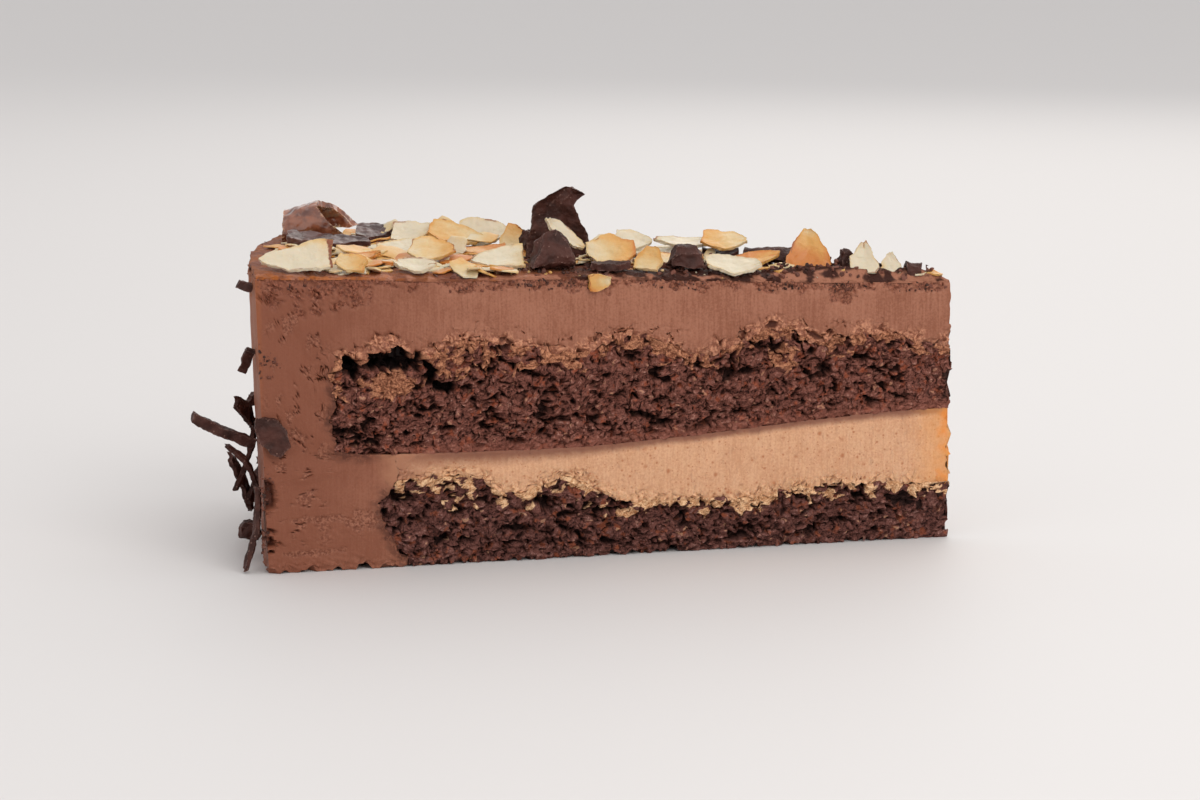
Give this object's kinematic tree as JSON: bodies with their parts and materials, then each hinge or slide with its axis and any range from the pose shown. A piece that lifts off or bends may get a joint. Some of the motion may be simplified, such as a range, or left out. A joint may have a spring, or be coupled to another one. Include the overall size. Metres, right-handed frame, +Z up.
{
  "type": "slice of chocolate torte",
  "caption": "Wedge of layered chocolate torte: dark sponges, caramel cream and mousse, topped with flaked almonds and chocolate pieces.",
  "frame": {"origin": "on the underside, in the wedge's middle plane, about halfway from its point to the rim of the cake", "axes": "+X from the rim to the point, -Y towards the front cut face, +Z up"},
  "size_m": [0.1409, 0.0657, 0.0668],
  "materials": {
    "lower_sponge": "coarse dark chocolate crumb, dry and matte",
    "caramel": "smooth caramel cream with fine brown specks",
    "upper_sponge": "dark chocolate crumb with pores, smeared with mousse",
    "mousse": "smooth milk chocolate mousse with knife streaks and small pits",
    "glaze": "thin sticky amber glaze full of almond flakes and chocolate crumbs",
    "almond_pale": "pale flaked almond with a toasted edge",
    "almond_golden": "golden flaked almond",
    "almond_toasted": "toasted orange-brown flaked almond",
    "dark_chocolate": "matte dark chocolate with pale bloom specks",
    "milk_chocolate": "satin brown chocolate scroll with a pale edge"
  },
  "bodies": {
    "root": {"lower_sponge": "lower_sponge", "caramel_cream": "caramel", "upper_sponge": "upper_sponge", "chocolate_mousse": "mousse", "almond_glaze": "glaze", "chocolate_flake_rim": "dark_chocolate", "chocolate_flake_back": "dark_chocolate", "chocolate_flake_front": "dark_chocolate", "chocolate_scroll": "milk_chocolate", "chocolate_chunk": "dark_chocolate", "chocolate_chunk_left": "dark_chocolate", "chocolate_shard": "dark_chocolate", "chocolate_chunk_middle": "dark_chocolate", "chocolate_flake_point": "dark_chocolate", "chocolate_curl": "dark_chocolate", "chocolate_chunk_point": "dark_chocolate", "chocolate_curl_point": "dark_chocolate", "almond_01": "almond_toasted", "almond_02": "almond_toasted", "almond_03": "almond_golden", "almond_04": "almond_pale", "almond_05": "almond_pale", "almond_06": "almond_pale", "almond_07": "almond_pale", "almond_08": "almond_golden", "almond_09": "almond_pale", "almond_10": "almond_golden", "almond_11": "almond_pale", "almond_12": "almond_golden", "almond_13": "almond_pale", "almond_14": "almond_golden", "almond_15": "almond_golden", "almond_16": "almond_golden", "almond_17": "almond_pale", "almond_18": "almond_toasted", "almond_19": "almond_pale", "almond_20": "almond_pale", "almond_21": "almond_golden", "almond_22": "almond_toasted", "almond_23": "almond_pale", "almond_24": "almond_pale", "almond_25": "almond_pale", "almond_on_cut": "almond_golden", "rim_flake": "dark_chocolate", "rim_blade": "dark_chocolate", "rim_strip": "dark_chocolate", "rim_stick_long": "dark_chocolate", "rim_stick_short": "dark_chocolate", "rim_hook": "dark_chocolate", "rim_chunk": "dark_chocolate", "rim_shaving_01": "dark_chocolate", "rim_shaving_02": "dark_chocolate", "rim_shaving_03": "dark_chocolate", "rim_shaving_04": "dark_chocolate", "rim_shaving_05": "dark_chocolate", "rim_shaving_06": "dark_chocolate", "rim_shaving_07": "dark_chocolate", "rim_shaving_08": "dark_chocolate", "rim_shaving_09": "dark_chocolate", "rim_shaving_10": "dark_chocolate"}
  },
  "joints": []
}
